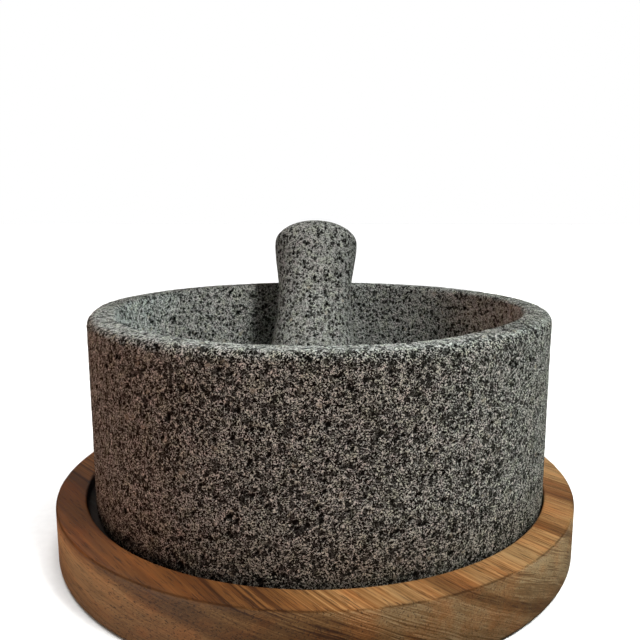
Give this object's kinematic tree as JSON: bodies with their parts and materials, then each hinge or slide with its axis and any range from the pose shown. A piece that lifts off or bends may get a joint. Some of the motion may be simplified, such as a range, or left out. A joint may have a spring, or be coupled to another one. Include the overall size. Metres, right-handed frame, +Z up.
{
  "type": "molcajete",
  "caption": "Round straight-sided stone mortar bowl with a waisted stone pestle leaning in it, standing in the shallow recess of a turned wooden base.",
  "frame": {"origin": "centre of the wooden base's underside", "axes": "+Z up, along the axis of the base and the bowl; +Y towards the side of the rim that the pestle leans on; -Y is the front; +X to the right seen from the front"},
  "size_m": [0.228, 0.228, 0.1388],
  "materials": {
    "base_wood": "satin oiled hardwood with a strong diagonal grain",
    "bowl_stone": "rough, finely pitted grey volcanic stone with dark and pale grains",
    "pestle_stone": "rough, finely pitted grey volcanic stone with dark spots"
  },
  "bodies": {
    "base": {"wooden_base": "base_wood"},
    "mortar": {"mortar_bowl": "bowl_stone"},
    "pestle": {"pestle": "pestle_stone"}
  },
  "joints": [
    {"name": "bowl_lift", "type": "slide", "parent": "base", "child": "mortar", "axis": [0, 0, 1], "range_m": [0, 0.06]},
    {"name": "pestle_lift", "type": "slide", "parent": "mortar", "child": "pestle", "axis": [0, 0, 1], "range_m": [0, 0.12]}
  ]
}
